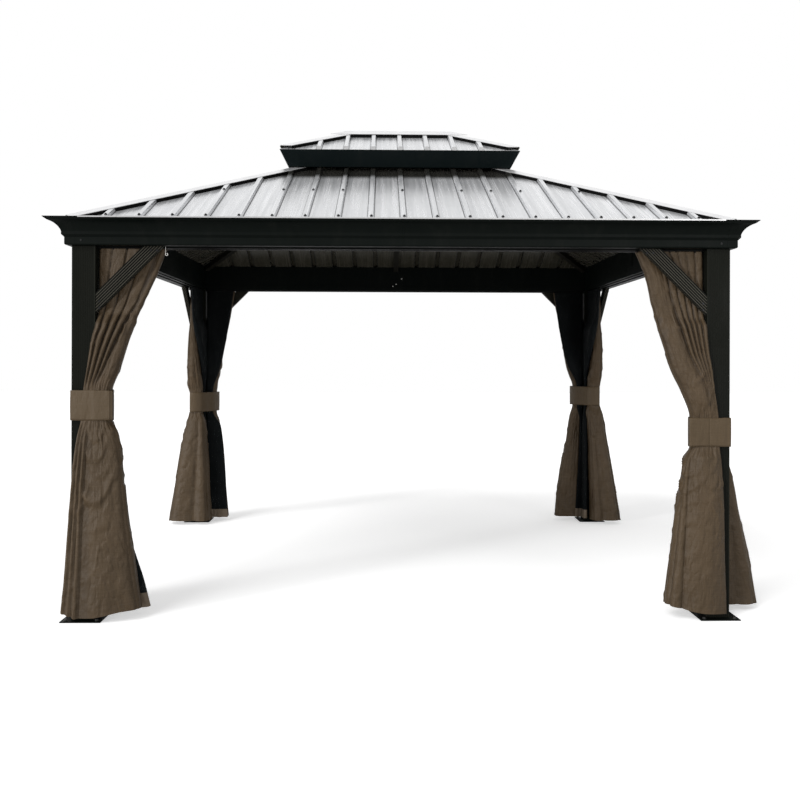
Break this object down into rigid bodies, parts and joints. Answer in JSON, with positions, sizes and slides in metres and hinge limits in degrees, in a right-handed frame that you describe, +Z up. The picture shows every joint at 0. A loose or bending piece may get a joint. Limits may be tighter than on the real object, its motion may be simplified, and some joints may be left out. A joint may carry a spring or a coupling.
{
  "type": "metal gazebo",
  "caption": "Open metal gazebo with fluted posts, crown-moulded beams, a vented two-tier hipped roof of ribbed sheets, and curtains and netting tied back at the posts.",
  "frame": {"origin": "on the ground at the centre of the four posts, under the ridge", "axes": "+X along the long side to the right, +Y to the back, +Z up; the front of the picture faces -Y"},
  "size_m": [3.65, 3.05, 2.9266],
  "materials": {
    "frame": "charcoal powder coat, satin",
    "roof_sheet": "pale grey coated steel with a brushed sheen on top, dark brown-grey underneath",
    "roof_trim": "folded pale coated steel, semi-gloss",
    "track": "black coated aluminium",
    "curtain": "taupe brown woven polyester, soft sheen",
    "tie_band": "taupe brown woven polyester, two layers sewn",
    "netting": "black open mesh insect netting"
  },
  "bodies": {
    "root": {"base_plates": "frame", "beam_corner_caps": "frame", "beam_splices": "frame", "vent_skirt": "frame", "vent_ring": "frame", "vent_posts": "frame", "vent_top_ring": "frame", "upper_rafters": "frame", "hip_rafters": "frame", "mid_rafters": "frame", "post_front_left": "frame", "post_front_right": "frame", "post_back_left": "frame", "post_back_right": "frame", "brace_front_left": "frame", "brace_front_right": "frame", "brace_back_left": "frame", "brace_back_right": "frame", "beam_front": "frame", "beam_back": "frame", "beam_left": "frame", "beam_right": "frame", "lower_roof_front": "roof_sheet", "lower_roof_back": "roof_sheet", "lower_roof_left": "roof_sheet", "lower_roof_right": "roof_sheet", "upper_roof_front": "roof_sheet", "upper_roof_back": "roof_sheet", "upper_roof_left": "roof_sheet", "upper_roof_right": "roof_sheet", "lower_hip_caps": "roof_trim", "upper_hip_caps": "roof_trim", "ridge_cap": "roof_trim", "curtain_tracks": "track", "curtain_front_left": "curtain", "curtain_front_right": "curtain", "curtain_back_left": "curtain", "curtain_back_right": "curtain", "tie_band_front_left": "tie_band", "tie_band_front_right": "tie_band", "tie_band_back_left": "tie_band", "tie_band_back_right": "tie_band", "netting_front_left": "netting", "netting_front_right": "netting", "netting_back_left": "netting", "netting_back_right": "netting"}
  },
  "joints": []
}
